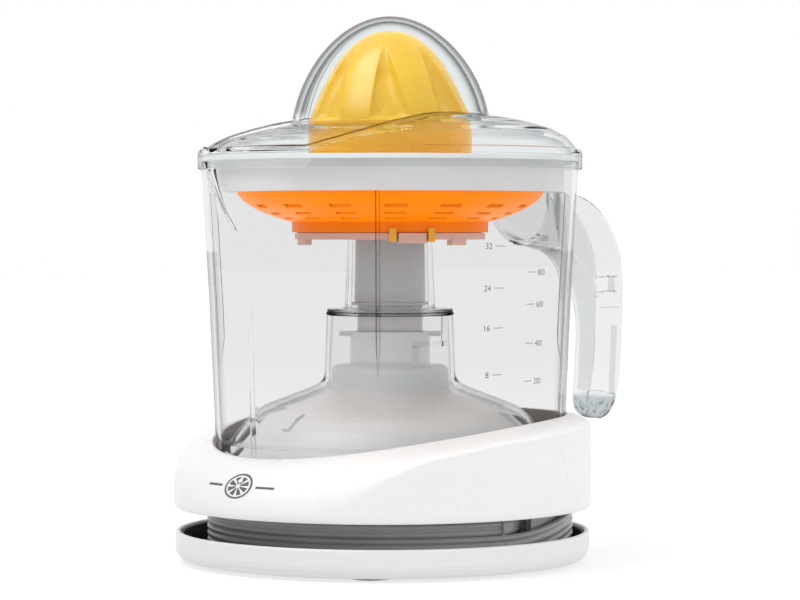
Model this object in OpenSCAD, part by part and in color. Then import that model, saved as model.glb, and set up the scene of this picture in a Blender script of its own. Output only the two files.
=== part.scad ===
// Citrus press juicer: a clear one-litre pitcher with a strainer basket, two nested reamers and a
// domed lid, standing on a motor base that presses to start and winds its cord round a spool.
// Millimetres, +Z up. The origin is on the floor, on the spindle's axis. The spout points to -Y
// and the handle to +Y.

/* [Base] */
// Outer radius of the tray that the base stands in
tray_r = 83.6; // [83.4:0.1:84.4]
// Height of the tray's rim above the floor
tray_h = 12.6; // [12:0.1:13]
// Outer radius of the white housing
housing_r = 84.4; // [84.2:0.1:85]
// How far the tray and the housing are set forward of the spindle, towards the spout
front_shift = 4; // [3.5:0.1:4.2]
// Radius of the drum that the cord is wound on
spool_r = 71.2; // [71:0.1:71.4]
// Height of the housing's lower edge
housing_z = 22.1; // [22:0.1:22.6]
// Height of the housing's rim on the handle side
rim_z = 59; // [58:0.5:60]
// Radius of the long arc in which the housing's rim falls towards the spout
rim_arc_r = 470; // [460:5:500]

/* [Pitcher] */
// Outer radius of the pitcher at its foot
foot_r = 70.3; // [70:0.1:70.6]
// Outer radius of the pitcher at its rim
mouth_r = 76.2; // [76:0.1:76.4]
// Height of the pitcher's rim
mouth_z = 160.5; // [160.3:0.1:160.6]
// Thickness of the pitcher's wall
wall = 2.1; // [1.9:0.1:2.2]
// How far the spout reaches from the spindle's axis
spout_reach = 85; // [84:0.5:86]
// How far the handle reaches from the spindle's axis
handle_reach = 125.5; // [124:0.5:127]
// Width of the handle
handle_w = 18; // [16:0.5:20]

/* [Strainer and reamers] */
// Outer radius of the strainer bowl under its collar
bowl_r = 62.3; // [62:0.1:62.4]
// Number of slots in each row round the bowl
slot_count = 16; // [14:1:18]
// Outer radius of the large reamer's skirt
reamer_r = 34; // [33.5:0.1:34]
// Number of ribs on each reamer
rib_count = 10; // [8:1:12]

/* [Lid] */
// Outer radius of the lid's rim
lid_r = 77.7; // [77.5:0.1:78]
// Height of the top of the lid's dome
lid_z = 219.5; // [219:0.5:221]

/* [Drive] */
// Gear module, the pitch diameter of a gear divided by its teeth
gear_module = 0.8; // [0.8:0.01:0.8]
// Teeth on the small gears
pinion_teeth = 12; // [12:1:12]
// Teeth on the large gears
wheel_teeth = 60; // [60:1:60]
// How far the spindle goes down to start the motor
press_travel = 2.5; // [2:0.1:2.5]
// Radius of the steel spindle
spindle_r = 3; // [2.8:0.1:3]

/* [Cord] */
// Width of the flat twin cord, which is its height on the spool
cord_w = 5.6; // [5.4:0.1:5.6]
// Thickness of the flat twin cord
cord_t = 2.8; // [2.6:0.1:2.8]
// Rows of cord on the spool
cord_rows = 3; // [3:1:3]

/* [Hidden] */

fine = 128;                // facets on the large rounds
small = 48;                // facets on pins, holes and screws
gap = 0.1;                 // play between parts that only rest together

// Heights in the base
tray_z = 1;                // underside of the tray, above the feet's soles
tray_floor = 3.2;
spool_z = 4.2;
spool_floor = 6.6;
ledge_z = 38;              // ledge in the housing that carries the motor cover
cover_z = 40;              // top of the motor cover's flange
well_r = 71.6;             // round well in the housing that takes the pitcher's foot
shaft_bottom = 91;
driver_top = 99;
screw_angles = [80, 215, -35];
screw_ring = 60;
foot_ring = 66;

// Drive train, seen from above
pitch_small = gear_module * pinion_teeth / 2;
pitch_large = gear_module * wheel_teeth / 2;
centres = pitch_small + pitch_large;
rotor_ring = 42;
rotor_angle = -76;
idler_angle = rotor_angle + acos(rotor_ring / (2 * centres));
rotor_pos = rotor_ring * [cos(rotor_angle), sin(rotor_angle)];
idler_pos = centres * [cos(idler_angle), sin(idler_angle)];
idler_to_rotor = atan2(rotor_pos.y - idler_pos.y, rotor_pos.x - idler_pos.x);
pressure_angle = 25;
backlash = 0.15;
post_angles = [15, 75, 165, 212];
post_ring = 41;
plate_z = 41;
plate_t = 2.5;
switch_angle = 120;
switch_ring = 36;

// Cord
cord_r = spool_r + 0.05;
cord_out = cord_r + cord_t;
cord_z = 4.3;
wind_r = cord_r + cord_t / 2;
bend_r = 25;               // bend of the cord where it leaves the winding
exit_angle = -12;          // direction of the point where the lead joins the winding
plug_angle = 150;          // direction of the parked plug
plug_line = 59;            // distance of the plug's centre line from the spindle
plug_bend = acos((plug_line - bend_r) / (wind_r - bend_r));

// Pitcher, strainer and reamers
tower_r = 26.5;
tower_top = 101.5;
sleeve_top = 138;
rib_low = 79;
rib_high = 148.2;
spout_low = 121;
spout_top = 157;
basket_z = 148.5;
hex_low = 143;
hex_top = 160;
shaft_hex = 16;
tab_angle = -28.7;

// ---------------------------------------------------------------- outlines and shared shapes

// Points on a circular arc in the plane of an outline
function arc(cx, cy, r, from, to, n = 5) =
    [for (i = [0:n]) let (a = from + (to - from) * i / n) [cx + r * cos(a), cy + r * sin(a)]];

// Points on a quadratic curve from a to c that leans towards b
function curve(a, b, c, n = 6) =
    [for (i = [0:n]) let (t = i / n) (1 - t) * (1 - t) * a + 2 * t * (1 - t) * b + t * t * c];

// Points on a cubic curve from a to d
function cubic(a, b, c, d, n = 10) =
    [for (i = [0:n]) let (t = i / n, u = 1 - t)
        u * u * u * a + 3 * u * u * t * b + 3 * u * t * t * c + t * t * t * d];

function reverse(list) = [for (i = [len(list) - 1:-1:0]) list[i]];

// An outline of radius and height turned round the Z axis
module lathe(points, facets = fine) rotate_extrude($fn = facets) polygon(points);

module tube(r_out, r_in, z, h, facets = small) translate([0, 0, z]) difference() {
    cylinder(r = r_out, h = h, $fn = facets);
    translate([0, 0, -1]) cylinder(r = r_in, h = h + 2, $fn = facets);
}

module at(angle, ring, z = 0) rotate([0, 0, angle]) translate([ring, 0, z]) children();

// Everything below the arc in which the housing's rim falls, lowered by drop
module below_rim(drop = 0) translate([0, 46, rim_z - rim_arc_r - drop]) rotate([0, 90, 0])
    cylinder(r = rim_arc_r, h = 240, center = true, $fn = 720);

// A rounded bar section, tall and flat, for the cord's moulded ends
module bar_section(w, h) {
    square([w, h - w], center = true);
    for (s = [-1, 1]) translate([0, s * (h - w) / 2]) circle(d = w, $fn = 24);
}

// ---------------------------------------------------------------- base: shell

module feet_places() {
    children();
    for (a = [45:90:315]) translate([0, -front_shift, 0]) at(a, foot_ring) children();
}

module rubber_feet() color("#4a4c4e") feet_places() {
    cylinder(r = 8, h = tray_z, $fn = small);
    cylinder(r = 2.9, h = tray_floor - gap, $fn = small);
}

module screw_places() for (a = screw_angles) at(a, screw_ring) children();

module base_tray() color("#f0f1f1") difference() {
    translate([0, -front_shift, 0]) lathe(concat(
        [[0, tray_z]],
        arc(tray_r - 5, tray_z + 5, 5, -90, 0),
        arc(tray_r - 1.1, tray_h - 1.1, 1.1, 0, 180, 6),
        arc(tray_r - 3.7, tray_floor + 1.5, 1.5, 0, -90),
        [[0, tray_floor]]));
    feet_places() translate([0, 0, -1]) cylinder(r = 3, h = 6, $fn = small);
    screw_places() {
        cylinder(r = 1.8, h = 8, $fn = small);
        cylinder(r = 3.4, h = 2.4, $fn = small);
    }
}

module tray_liner() color("#1b1c1d") translate([0, -front_shift, 0]) lathe([
    [68, tray_floor + gap], [tray_r - 3.9, tray_floor + gap], [tray_r - 2.3, 4.9],
    [tray_r - 2.3, tray_h - 1.2], [tray_r - 3.2, tray_h - 1.2], [tray_r - 3.2, 5.2],
    [tray_r - 4.3, 4.1], [68, 4.1]]);

// The parked plug's recess in the drum, in the plug's own directions
module plug_recess(margin) rotate([0, 0, plug_angle])
    translate([49 - margin, -22 - margin, 0]) cube([40, 68 + 2 * margin, 40]);

module cord_spool() color("#8f9294") difference() {
    union() {
        lathe([[0, tray_floor + gap], [59.5, tray_floor + gap], [59.5, spool_z], [spool_r, spool_z],
               [spool_r, housing_z - gap], [spool_r - 2.4, housing_z - gap],
               [spool_r - 2.4, spool_floor], [0, spool_floor]]);
        screw_places() translate([0, 0, spool_floor - 1])
            cylinder(r = 4.5, h = housing_z - gap - spool_floor + 1, $fn = small);
        intersection() {
            translate([0, 0, spool_z]) cylinder(r = spool_r, h = housing_z - gap - spool_z, $fn = fine);
            plug_recess(2);
        }
        // two posts behind which the lead's sleeve is hooked
        rotate([0, 0, exit_angle]) translate([wind_r - bend_r, 0, spool_floor - 1]) rotate([0, 0, 48])
            for (x = [-6.2, 2.3]) translate([bend_r + x, 6, 0]) cube([3.9, 1.8, 16]);
    }
    translate([0, 0, spool_floor]) plug_recess(0);
    screw_places() cylinder(r = 1.8, h = 30, $fn = small);
    // slot that the lead comes out of
    rotate([0, 0, exit_angle]) translate([60, 2, 14.4]) cube([20, 24, 20]);
}

// Outline of the housing's outside: a nearly upright wall and a broad shoulder
function housing_outline(inset) = concat(
    [[housing_r - 0.6 - inset, housing_z + inset], [housing_r - inset, 33], [housing_r - inset, 44]],
    curve([housing_r - inset, 44.5], [housing_r - 0.5 - inset, 53 - inset], [74.5 - inset, 61.5 - inset]));

module housing() color("#f7f8f8") difference() {
    union() {
        intersection() {
            translate([0, -front_shift, 0]) difference() {
                lathe(concat([[0, housing_z]], housing_outline(0), [[0, 62]]));
                difference() {
                    intersection() {
                        lathe(concat([[0, housing_z + 2.4]], housing_outline(2.4), [[0, 59.6]]));
                        translate([0, front_shift, 0]) below_rim(2.4);
                    }
                    translate([0, front_shift, ledge_z - 2.4]) cylinder(r = well_r + 2, h = 40, $fn = fine);
                }
            }
            below_rim();
        }
        screw_places() translate([0, 0, housing_z + gap])
            cylinder(r = 4.5, h = ledge_z - 2 - housing_z, $fn = small);
    }
    translate([0, 0, ledge_z]) cylinder(r = well_r, h = 40, $fn = fine);
    translate([0, 0, ledge_z - 10]) cylinder(r = 54, h = 20, $fn = fine);
    difference() {
        translate([0, 0, housing_z - 1]) cylinder(r = 66, h = 3.4, $fn = fine);
        screw_places() cylinder(r = 4.5, h = 40, $fn = small);
    }
    screw_places() cylinder(r = 1.35, h = ledge_z - 2, $fn = small);
}

module motor_cover() color("#c9cbcc") {
    lathe(concat(
        [[66.6, ledge_z + gap], [71.2, ledge_z + gap], [71.2, cover_z], [66.6, cover_z]],
        curve([66.6, cover_z], [60.6, 45], [53.8, 54.2], 4),
        [[49.2, 58.1]],
        curve([46, 59.8], [38, 63.2], [27.8, 66], 4),
        curve([26.2, 66.8], [24.3, 67.8], [24, 70], 3),
        arc(20.8, 75.8, 3, 0, 90),
        [[16.2, 78.8], [16, 92.2], [13.8, 92.2], [13.8, 87.2], [6, 87.2], [6, 83], [13.8, 83],
         [13.8, 76.6], [21.4, 76.6], [21.4, 67.6], [26.2, 64.4], [37.6, 61.2], [47.4, 56.8],
         [51.8, 53.2], [57.6, 44.6], [64.2, ledge_z + gap]]));
    for (a = [49, 229]) at(a, 15, 90.3) translate([0, -3.5, 0]) cube([5.4, 7, 1.9]);
    // low keys on the dome that locate the pitcher's floor
    for (a = [30:120:270]) rotate([0, 0, a]) rotate([90, 0, 0]) translate([0, 0, -2])
        linear_extrude(4) polygon([[53.2, 51.4], [54.6, 54.8], [50, 59.2], [46.4, 60.6], [47.6, 58]]);
}

module base_screws() color("#a9abad") screw_places() {
    translate([0, 0, tray_z + 0.05]) difference() {
        cylinder(r = 3, h = 1.3, $fn = small);
        for (a = [0, 90]) rotate([0, 0, a]) translate([-2, -0.35, -0.1]) cube([4, 0.7, 0.8]);
    }
    translate([0, 0, tray_z + 1]) cylinder(r = 1.5, h = 32, $fn = small);
}

// ---------------------------------------------------------------- base: motor and gears

module post_places() for (a = post_angles) at(a, post_ring) children();

module gear_carrier() color("#5b6064") difference() {
    union() {
        translate([0, 0, spool_floor]) cylinder(r = 46.4, h = 2.9, $fn = fine);
        translate([rotor_pos.x, rotor_pos.y, spool_floor]) cylinder(r = 7.5, h = 2.9, $fn = small);
        post_places() translate([0, 0, 8]) cylinder(r = 4, h = plate_z - 8, $fn = small);
        at(switch_angle, 20, 9) cylinder(r = 2, h = 8.1, $fn = small);
        // pads under the laminated core, which stands off the plate
        for (p = [[-20, -30.5], [21.5, -30.5], [-2, -43]]) translate([p.x - 1.5, p.y - 1.5, 9])
            cube([3, 3, core_z - 9]);
    }
    translate([rotor_pos.x, rotor_pos.y, 0]) cylinder(r = 4.5, h = 20, $fn = small);
    translate([idler_pos.x, idler_pos.y, 0]) cylinder(r = 2, h = 20, $fn = small);
    post_places() translate([0, 0, 30]) cylinder(r = 1.2, h = 20, $fn = small);
}

module gear_plate() color("#aeb1b4") translate([0, 0, plate_z]) difference() {
    cylinder(r = 49, h = plate_t, $fn = fine);
    translate([0, 0, -1]) {
        cylinder(r = 5, h = 10, $fn = small);
        translate([rotor_pos.x, rotor_pos.y, 0]) cylinder(r = 4.5, h = 10, $fn = small);
        translate([idler_pos.x, idler_pos.y, 0]) cylinder(r = 2, h = 10, $fn = small);
        post_places() cylinder(r = 1.6, h = 10, $fn = small);
    }
}

module plate_screws() color("#b8babc") post_places() {
    translate([0, 0, plate_z + plate_t]) difference() {
        cylinder(r = 2.8, h = 1.8, $fn = small);
        for (a = [0, 90]) rotate([0, 0, a]) translate([-1.8, -0.3, 1]) cube([3.6, 0.6, 1]);
    }
    translate([0, 0, plate_z - 8]) cylinder(r = 1.25, h = 8 + plate_t, $fn = small);
}

core_x = [-24, 25];
core_y = [-59, -27.5];
core_z = 14;
core_h = 14;
limb_x = -13.5;            // centre of the core's limb that carries the coil

module stator_core() color("#6d7276") translate([0, 0, core_z]) linear_extrude(core_h) difference() {
    translate([core_x[0], core_y[0]]) square([core_x[1] - core_x[0], core_y[1] - core_y[0]]);
    translate(rotor_pos) circle(r = 10.2, $fn = small);
    // windows on both sides of the coil's limb
    translate([limb_x - 8.2, -52]) square([4.2, 17.5]);
    translate([limb_x + 4, -52]) square([5.2, 17.5]);
    for (s = [-1, 1]) translate(rotor_pos) rotate(s * 90) translate([9.6, -0.8]) square([5, 1.6]);
}

module stator_coil() color("#b4622c") difference() {
    translate([limb_x - 7.8, -51.6, core_z - 4]) cube([16.6, 16.7, core_h + 8]);
    translate([limb_x - 4 - gap, -60, core_z - gap]) cube([8 + 2 * gap, 40, core_h + 2 * gap]);
}

module rotor_bushes() color("#b08d3e") translate([rotor_pos.x, rotor_pos.y, 0]) {
    tube(4.5, 2.05, spool_floor + gap, 3.6);
    tube(4.5, 2.05, plate_z - 0.6, plate_t + 1.2);
}

module idler_pin() color("#c3c6c8") translate([idler_pos.x, idler_pos.y, 0]) {
    translate([0, 0, spool_floor + gap]) cylinder(r = 2, h = plate_z + plate_t - spool_floor, $fn = small);
    tube(3.6, 2, 10, 6.4);
}

module spindle_bush() color("#b08d3e") {
    tube(5, spindle_r + 0.05, plate_z - 0.8, plate_t + 0.8);
    tube(7, spindle_r + 0.05, plate_z + plate_t, 1);
}

module tower_bush() color("#b08d3e") {
    tube(6, spindle_r + 0.05, 82.4, 4.8);
    tube(8, spindle_r + 0.05, 87.2, 0.7);
}

// A round wire wound into an open coil, swept ring by ring
spring_low = 9.5;
spring_high = 14.95;
spring_r = 6;
spring_wire = 0.45;
spring_turns = 3;
module return_spring() {
    steps = 60;
    sides = 8;
    rise = spring_high - spring_low - 2 * spring_wire;
    points = [for (i = [0:steps]) let (
            a = 360 * spring_turns * i / steps,
            z = spring_low + spring_wire + rise * i / steps)
        for (k = [0:sides - 1]) let (b = 360 * k / sides, r = spring_r + spring_wire * cos(b))
            [r * cos(a), r * sin(a), z + spring_wire * sin(b)]];
    skin = [for (i = [0:steps - 1], k = [0:sides - 1]) let (k2 = (k + 1) % sides, j = i * sides)
        [j + k, j + k2, j + sides + k2, j + sides + k]];
    ends = [[for (k = [sides - 1:-1:0]) k], [for (k = [0:sides - 1]) steps * sides + k]];
    color("#c3c6c8") polyhedron(points, [for (f = concat(skin, ends)) reverse(f)], convexity = 6);
}

module switch_body() color("#2c2d2f") at(switch_angle, switch_ring) difference() {
    translate([-3.25, -10, 9.5]) cube([6.5, 20, 11.5]);
    translate([-1.6, -1.6, 15]) cube([3.2, 3.2, 10]);
    for (s = [-1, 1]) translate([-5, 6.5 * s, 13]) rotate([0, 90, 0]) cylinder(r = 1.1, h = 10, $fn = small);
}

module switch_button() color("#b5312a") at(switch_angle, switch_ring)
    translate([-1.5, -1.5, 18]) cube([3, 3, 5.95]);

module thrust_plate() color("#d9d5c7") difference() {
    union() {
        translate([0, 0, 15]) cylinder(r = 8.5, h = 2, $fn = small);
        rotate([0, 0, switch_angle]) {
            translate([0, -4, 15]) cube([30, 8, 2]);
            translate([27.6, -4, 15]) cube([2.4, 8, 11]);
            translate([27.6, -4, 24]) cube([12, 8, 2]);
        }
    }
    at(switch_angle, 20) cylinder(r = 2.08, h = 40, $fn = small);
}

module terminal_block() color("#e7e4da") at(50, 56, spool_floor + gap) difference() {
    translate([-4, -9, 0]) cube([8, 18, 9]);
    for (s = [-1, 1]) translate([0, 4.5 * s, 3]) cylinder(r = 1.8, h = 10, $fn = small);
    for (s = [-1, 1]) translate([-5, 4.5 * s, 4.5]) rotate([0, 90, 0]) cylinder(r = 1.2, h = 10, $fn = small);
}

// One gear as a flat outline: involute flanks, a tooth centred on +X
function involute_deg(r, base) = r <= base ? 0 : let (a = acos(base / r)) tan(a) * 180 / PI - a;
function half_tooth(r, teeth, pitch, base) =
    90 / teeth - backlash / (4 * pitch) * 180 / PI + involute_deg(pitch, base) - involute_deg(r, base);

module gear_outline(teeth) {
    pitch = gear_module * teeth / 2;
    base = pitch * cos(pressure_angle);
    root = pitch - 1.25 * gear_module;
    tip = pitch + gear_module;
    low = max(root, base);
    radii = [root, low, (low + pitch) / 2, pitch, (pitch + tip) / 2, tip];
    polygon([for (i = [0:teeth - 1], s = [-1, 1], k = [0:5])
        let (r = radii[s < 0 ? k : 5 - k], a = 360 * i / teeth + s * half_tooth(r, teeth, pitch, base))
            if (r > root || k == (s < 0 ? 0 : 5)) r * [cos(a), sin(a)]]);
}

module spindle() color("#c3c6c8") {
    translate([0, 0, 17.05]) cylinder(r = spindle_r, h = 91.2 - 17.05, $fn = small);
    translate([0, 0, 91.2]) cylinder(d = 9 / cos(30), h = driver_top - 91.2, $fn = 6);
}

module output_gear() color("#e6e1d2") difference() {
    union() {
        rotate([0, 0, idler_angle]) translate([0, 0, 20]) linear_extrude(8) gear_outline(wheel_teeth);
        translate([0, 0, 20]) cylinder(r = 7, h = 10.5, $fn = small);
    }
    translate([0, 0, 10]) cylinder(r = spindle_r, h = 40, $fn = small);
    translate([0, 0, 23]) difference() {
        cylinder(r = 20.5, h = 10, $fn = small * 2);
        translate([0, 0, -1]) cylinder(r = 7, h = 20, $fn = small);
    }
}

module compound_gear() color("#efe9da") translate([idler_pos.x, idler_pos.y, 0]) difference() {
    union() {
        rotate([0, 0, idler_angle + 180 + 180 / pinion_teeth])
            translate([0, 0, 16.6]) linear_extrude(15) gear_outline(pinion_teeth);
        rotate([0, 0, idler_to_rotor]) translate([0, 0, 31]) linear_extrude(5.5) gear_outline(wheel_teeth);
        translate([0, 0, 31]) cylinder(r = 5, h = 9.6, $fn = small);
    }
    translate([0, 0, 10]) cylinder(r = 2.05, h = 40, $fn = small);
    translate([0, 0, 33.5]) difference() {
        cylinder(r = 20.5, h = 10, $fn = small * 2);
        translate([0, 0, -1]) cylinder(r = 5, h = 20, $fn = small);
    }
}

module rotor_shaft() color("#c3c6c8") translate([rotor_pos.x, rotor_pos.y, spool_floor + 0.4])
    cylinder(r = 2, h = plate_z + plate_t - spool_floor, $fn = small);

module rotor_magnet() color("#3b3e41") translate([rotor_pos.x, rotor_pos.y, 0]) tube(9.6, 2, 12.5, 17);

module motor_pinion() color("#c9a13c") translate([rotor_pos.x, rotor_pos.y, 30.4]) difference() {
    rotate([0, 0, idler_to_rotor + 180 / pinion_teeth]) linear_extrude(8) gear_outline(pinion_teeth);
    translate([0, 0, -1]) cylinder(r = 2, h = 12, $fn = small);
}

// ---------------------------------------------------------------- cord

row_top = cord_z + cord_rows * cord_w;

module power_cord() color("#6f7274") lathe([[cord_r, cord_z], [cord_out, cord_z],
    [cord_out, row_top], [cord_r, row_top]]);

// The lead's moulded sleeve: from inside the drum, round a bend, into the top row of the winding
module strain_relief() color("#5d6062") rotate([0, 0, exit_angle])
    translate([wind_r - bend_r, 0, row_top - cord_w / 2]) {
        rotate([0, 0, 20]) rotate_extrude(angle = 28, $fn = fine) translate([bend_r, 0]) bar_section(4.2, 6.8);
        rotate([0, 0, 48]) translate([bend_r, 0, 0]) rotate([-90, 0, 0]) {
            translate([0, 0, -1]) linear_extrude(2) bar_section(4.6, 7);
            linear_extrude(10) bar_section(4.2, 6.8);
            translate([0, 0, 8.2]) linear_extrude(2.4) bar_section(6.4, 7);
        }
    }

// The parked plug and its moulded neck, which bends round to the lowest row of the winding
plug_z = spool_floor + 0.2;
neck_z = plug_z + 3.1;
module plug_body() color("#5d6062") rotate([0, 0, plug_angle]) {
    difference() {
        union() {
            translate([plug_line - 8, -3, plug_z]) cube([16, 21, 11]);
            translate([plug_line - 6, -4, plug_z + 1]) cube([12, 2, 9]);
        }
        for (s = [-1, 1]) translate([plug_line + 8 * s, 11, plug_z - 1]) cylinder(r = 1.6, h = 20, $fn = 24);
    }
    translate([plug_line, 17, neck_z]) rotate([-90, 0, 0])
        linear_extrude((wind_r - bend_r) * sin(plug_bend) - 17) bar_section(4.2, 6);
    translate([plug_line - bend_r, (wind_r - bend_r) * sin(plug_bend), neck_z])
        rotate_extrude(angle = 10, $fn = fine) translate([bend_r, 0]) bar_section(4.2, 6);
}

module plug_blades() color("#c9b26a") rotate([0, 0, plug_angle]) for (s = [-1, 1])
    translate([plug_line + 6.35 * s - 0.75, -19.5, plug_z + 2.4]) difference() {
        cube([1.5, 15.5, 6.2]);
        translate([-1, 3.2, 3.1]) rotate([0, 90, 0]) cylinder(r = 1.5, h = 4, $fn = 24);
    }

// ---------------------------------------------------------------- pitcher

function wall_r(z) = lookup(z, [[40.3, foot_r - 0.1], [48, foot_r + 0.3], [105, 73.1], [129, 74.5],
    [155, mouth_r - 0.3], [mouth_z, mouth_r], [200, mouth_r]]);

module pitcher_wall() lathe([
    [foot_r - 2.4, 40.3], [foot_r - 0.1, 40.3], [wall_r(48), 48], [wall_r(105), 105],
    [wall_r(129), 129], [wall_r(155), 155], [mouth_r, mouth_z], [mouth_r - wall, mouth_z],
    [wall_r(155) - wall, 155], [wall_r(129) - wall, 129], [wall_r(105) - wall, 105],
    [wall_r(48) - wall, 48.6],
    // floor over the motor's dome, then the tower and the sleeve round the drive shaft
    [66, 47.4], [57.2, 57.6], [51.4, 62.3], [29.6, 70.5], [tower_r, 73], [tower_r - 1, tower_top],
    [18.3, tower_top], [17.1, 129], [16.9, sleeve_top], [15, sleeve_top], [15.9, 101.9], [15.9, 100.4],
    [13.7, 100.4], [13.7, 99.1], [tower_r - 2.9, 99.1], [24.9, 70.6], [28.9, 68.6], [50.6, 60.4],
    [55.7, 56], [63.4, 46], [66, 42.6]]);

// The space that the spout takes up, drawn in from its outside by inset
module spout_block(inset) hull() {
    translate([0, 0, spout_top - 0.1]) linear_extrude(inset > 0 ? 6 : 0.1) polygon(concat(
        [for (a = [-16:4:16]) (spout_reach - inset) * [sin(a), -cos(a)]],
        [for (s = [1, -1]) (spout_reach - 2 - inset) * [s * sin(20 - inset), -cos(20)]],
        [for (s = [1, -1]) 71 * [s * sin(26 - 1.2 * inset), -cos(26 - 1.2 * inset)]]));
    translate([0, -71.6, spout_low + 2 * inset]) cube([1, 2, 1], center = true);
}

module key_ribs() {
    // hooked rib inside the tower, beside the lugs on the motor's column
    rotate([0, 0, -18]) rotate_extrude(angle = 47, $fn = fine) translate([22.2, 86.5]) square([2.2, 2]);
    rotate([0, 0, -18]) rotate_extrude(angle = 5, $fn = fine) translate([22.2, 81]) square([2.2, 6]);
    rotate([0, 0, 25]) rotate_extrude(angle = 5, $fn = fine) translate([22.2, 86.5]) square([2.2, 13]);
}

module pitcher() color("#dfe6e8", 0.35) {
    difference() {
        union() {
            pitcher_wall();
            key_ribs();
            difference() {
                spout_block(0);
                cylinder(r = 73, h = 200, $fn = fine);
            }
        }
        spout_block(1.9);
    }
    // upright ribs that the strainer's collar rests on
    for (a = [45:90:315]) rotate([0, 0, a]) rotate([90, 0, 0]) translate([0, 0, -1]) linear_extrude(2)
        polygon([[wall_r(74) - wall, 74], [wall_r(rib_high) - wall + 0.6, rib_high],
                 [wall_r(rib_high) - wall - 3, rib_high], [wall_r(84) - wall - 3, 84]]);
}

// Side view of the handle: height against reach
handle_out = concat(
    cubic([73.6, 151.5], [104, 153], [handle_reach, 138], [handle_reach, 110], 8),
    [[handle_reach - 0.3, 86]],
    cubic([handle_reach - 1, 76], [handle_reach - 3, 62], [handle_reach - 5, 52], [116, 52.3], 6));
handle_in = concat(
    cubic([116, 52.3], [111.5, 52.5], [111, 60], [112.6, 66], 4),
    [[114, 84]],
    cubic([114, 92], [113, 116], [100, 126.5], [73.6, 126.5], 8));

module handle_side(x0, x1, points) rotate([90, 0, 90]) translate([0, 0, x0]) linear_extrude(x1 - x0)
    polygon(points);

// Inside of the channel, open on the handle's outer side
channel = concat(
    cubic([70, 160], [110, 166], [handle_reach + 6, 146], [handle_reach + 6, 110], 8),
    [[handle_reach + 6, 62], [118.6, 59]],
    cubic([116.6, 78], [116, 120], [102, 129], [70, 129], 8));

module pitcher_handle() color("#dfe6e8", 0.35) {
    difference() {
        union() {
            handle_side(-handle_w / 2, handle_w / 2, concat(handle_out, handle_in));
            intersection() {
                hull() {
                    translate([0, 74.5, 145]) rotate([90, 0, 0]) linear_extrude(4) {
                        translate([-18.4, 0]) square([36.8, 6.5]);
                        circle(r = 18.4, $fn = 32);
                    }
                    translate([-handle_w / 2, 92, 131]) cube([handle_w, 1, 18]);
                }
                translate([-40, 60, 110]) cube([80, 60, 41.5]);
            }
        }
        difference() {
            union() {
                handle_side(-handle_w / 2 + 2, handle_w / 2 - 2, channel);
                hull() {
                    translate([0, 73.5, 145]) rotate([90, 0, 0]) linear_extrude(4) {
                        translate([-16.2, 0]) square([32.4, 12]);
                        circle(r = 16.2, $fn = 32);
                    }
                    translate([-handle_w / 2 + 2, 91, 133]) cube([handle_w - 4, 1, 24]);
                }
            }
            // cross ribs in the channel
            for (z = [99, 106, 113]) translate([-12, 100, z]) cube([24, 24.5, 1.4]);
        }
        // the pitcher's own wall
        translate([0, 0, 100]) cylinder(r1 = 72.6, r2 = 76.1, h = 61, $fn = fine);
    }
}

module thrust_washer() color("#b9bbbd") tube(15.6, 13.3, 103, 0.9);

module drive_shaft() color("#a9abac") difference() {
    union() {
        lathe([[0, shaft_bottom], [12.6, shaft_bottom], [13.2, shaft_bottom + 0.6], [13.2, 103.95],
               [14.4, 103.95], [14, 128], [13.9, hex_low - 1], [12.9, hex_low], [0, hex_low]], 96);
        translate([0, 0, hex_low - 1]) cylinder(d = shaft_hex / cos(30), h = hex_top - hex_low + 1, $fn = 6);
    }
    translate([0, 0, shaft_bottom - 1]) cylinder(d = 9.3 / cos(30), h = driver_top + 1.06 - shaft_bottom, $fn = 6);
}

// ---------------------------------------------------------------- strainer

module basket_rim() color("#cfd1d2") lathe([
    [bowl_r + 0.3, basket_z], [70.5, basket_z], [70.5, 160.7], [mouth_r, 160.7], [mouth_r, 162.5],
    [68.5, 162.5], [68.5, basket_z + 1.7], [bowl_r + 0.3, basket_z + 1.7]]);

// One row of slots through the bowl, cut straight down
module slot_row(ring, width, depth) for (i = [0:slot_count - 1])
    at(6.2 + 360 * i / slot_count, ring, 130) translate([-depth / 2, -width / 2, 0]) cube([depth, width, 19]);

// Radial slots in a flat floor
module floor_slots(z) for (i = [0:slot_count - 1])
    at(6.2 + 360 * i / slot_count, 23, z) translate([0, -1.25, 0]) cube([12.5, 2.5, 4]);

module strainer_basket() color("#fc9625") difference() {
    lathe(concat(
        [[68, basket_z + 1.8], [68, basket_z + 3.2], [60.8, basket_z + 3.2]],
        curve([60.4, 149.5], [57.6, 143.9], [39.2, 138.4], 7),
        [[19.4, 138.4], [19.2, 146], [17.4, 146], [17.4, 132.3], [19.4, 132.3], [19.4, 136.6],
         [37.9, 136.6], [37.9, 132.3], [39.7, 132.3], [39.8, 136.5]],
        curve([40.6, 136.6], [59.5, 142], [bowl_r, basket_z], 7),
        [[bowl_r, basket_z + 1.8]]));
    slot_row(56, 9, 2.4);
    slot_row(50, 8.4, 2.2);
    slot_row(44.4, 7.6, 2);
    floor_slots(135.5);
}

module pulp_ring() color("#c9aea2") difference() {
    union() {
        lathe([[20.2, 134.6], [35.4, 134.6], [35.4, 129.4], [38.5, 129.4], [38.5, 132], [37.4, 132],
               [37.4, 136.3], [20.2, 136.3]]);
        // finger tab and the low lugs beside it
        rotate([0, 0, tab_angle]) translate([36.5, -5.5, 128]) cube([4.6, 11, 4]);
        for (a = [tab_angle + 33, tab_angle - 80, tab_angle + 150]) at(a, 36.5, 127.2)
            translate([-1, -4, 0]) cube([3, 8, 3]);
    }
    floor_slots(133.5);
}

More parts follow.
